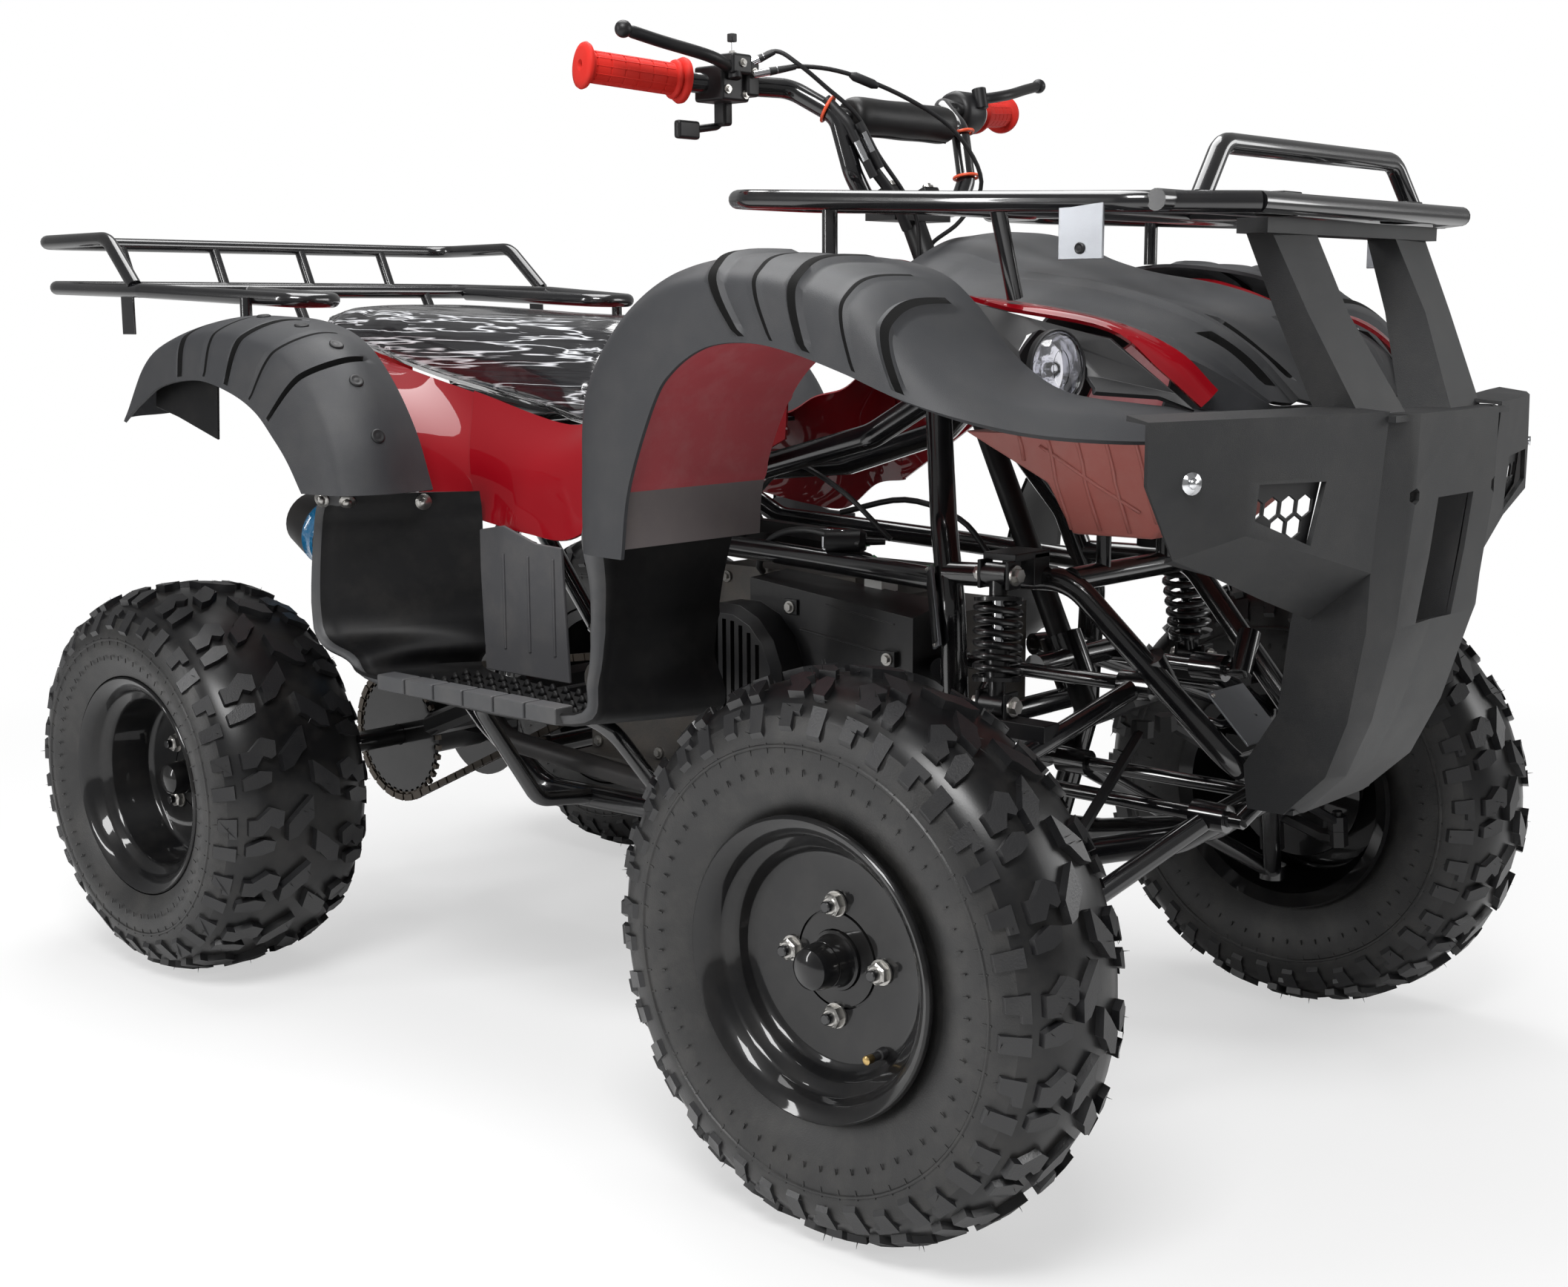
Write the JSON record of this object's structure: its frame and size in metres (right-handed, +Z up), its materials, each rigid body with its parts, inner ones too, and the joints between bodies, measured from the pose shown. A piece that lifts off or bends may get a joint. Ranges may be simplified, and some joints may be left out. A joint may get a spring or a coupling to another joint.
{
  "type": "quad bike",
  "caption": "Utility quad bike with front and rear racks, front bumper, footwells, straddle seat and wide handlebar on four knobbly tyres.",
  "frame": {"origin": "centre of the bounding box on the floor", "axes": "-Y is forward, +X is the rider's left, +Z is up"},
  "size_m": [1.07, 2.0239, 1.1828],
  "materials": {
    "frame_paint": "gloss",
    "cable_sheath": "satin",
    "rim_paint": "gloss",
    "engine_alloy": "cast",
    "exhaust_steel": "satin",
    "spring_steel": "gloss",
    "chain_steel": "oiled",
    "hub_steel": "satin",
    "shroud_plastic": "matt",
    "textured_plastic": "grained",
    "liner_plastic": "translucent",
    "bumper_plastic": "grained",
    "black_plastic": "satin",
    "red_gloss": "gloss",
    "red_lens": "gloss",
    "lamp_glass": "clear",
    "seat_vinyl": "wrapped in clear film",
    "pad_cover": "satin",
    "red_rubber": "matt",
    "tyre_rubber": "matt"
  },
  "bodies": {
    "chassis": {"frame": "frame_paint", "engine": "engine_alloy", "fan_shroud": "shroud_plastic", "carburettor": "engine_alloy", "exhaust": "exhaust_steel", "swingarm": "frame_paint", "rear_shock": "spring_steel", "chain": "chain_steel", "nose_cowl": "textured_plastic", "front_shell": "red_gloss", "front_arches": "textured_plastic", "front_liners": "liner_plastic", "nose_box": "liner_plastic", "headlights": "lamp_glass", "headlight_bezels": "black_plastic", "front_bumper": "bumper_plastic", "bumper_grilles": "black_plastic", "front_rack": "frame_paint", "rear_rack": "frame_paint", "tank_cover": "red_gloss", "rear_shell": "red_gloss", "rear_arches": "textured_plastic", "footwells": "black_plastic", "seat": "seat_vinyl", "tail_lamp": "red_lens", "mud_flaps": "black_plastic", "a_arms": "frame_paint", "front_shocks": "spring_steel"},
    "steering": {"steering_column": "frame_paint", "handlebar": "frame_paint", "bar_pad": "pad_cover", "grips": "red_rubber", "bar_controls": "black_plastic", "bar_cables": "cable_sheath"},
    "knuckle_right": {"knuckle_right": "frame_paint"},
    "knuckle_left": {"knuckle_left": "frame_paint"},
    "front_wheel_right": {"front_tyre_right": "tyre_rubber", "front_rim_right": "rim_paint", "front_hub_right": "hub_steel"},
    "front_wheel_left": {"front_tyre_left": "tyre_rubber", "front_rim_left": "rim_paint", "front_hub_left": "hub_steel"},
    "rear_axle": {"rear_axle": "hub_steel", "rear_tyres": "tyre_rubber", "rear_rims": "rim_paint"},
    "tie_rod_right": {"tie_rod_right": "frame_paint"},
    "tie_rod_left": {"tie_rod_left": "frame_paint"}
  },
  "joints": [
    {"name": "steer", "type": "hinge", "parent": "chassis", "child": "steering", "pos_m": [0, -0.599, 0.43], "axis": [0, 0.4211, 0.907], "range_deg": [-38, 38]},
    {"name": "kingpin_right", "type": "hinge", "parent": "chassis", "child": "knuckle_right", "pos_m": [-0.368, -0.6365, 0.195], "axis": [0.09, 0.0337, 0.9954], "range_deg": [-31, 31]},
    {"name": "wheel_right", "type": "hinge", "parent": "knuckle_right", "child": "front_wheel_right", "pos_m": [-0.452, -0.6365, 0.278], "axis": [1, 0, 0], "continuous": true},
    {"name": "tie_rod_right_turn", "type": "hinge", "parent": "knuckle_right", "child": "tie_rod_right", "pos_m": [-0.348, -0.7325, 0.255], "axis": [0.09, 0.0337, 0.9954], "range_deg": [-40, 40]},
    {"name": "kingpin_left", "type": "hinge", "parent": "chassis", "child": "knuckle_left", "pos_m": [0.368, -0.6365, 0.195], "axis": [-0.09, 0.0337, 0.9954], "range_deg": [-31, 31]},
    {"name": "wheel_left", "type": "hinge", "parent": "knuckle_left", "child": "front_wheel_left", "pos_m": [0.452, -0.6365, 0.278], "axis": [1, 0, 0], "continuous": true},
    {"name": "tie_rod_left_turn", "type": "hinge", "parent": "knuckle_left", "child": "tie_rod_left", "pos_m": [0.348, -0.7325, 0.255], "axis": [-0.09, 0.0337, 0.9954], "range_deg": [-40, 40]},
    {"name": "rear_axle_spin", "type": "hinge", "parent": "chassis", "child": "rear_axle", "pos_m": [0, 0.5585, 0.264], "axis": [1, 0, 0], "continuous": true}
  ],
  "couplings": [
    {"joint": "kingpin_right", "follows": "steer", "ratio": 0.8},
    {"joint": "tie_rod_right_turn", "follows": "steer", "ratio": -0.8},
    {"joint": "kingpin_left", "follows": "steer", "ratio": 0.8},
    {"joint": "tie_rod_left_turn", "follows": "steer", "ratio": -0.8}
  ]
}
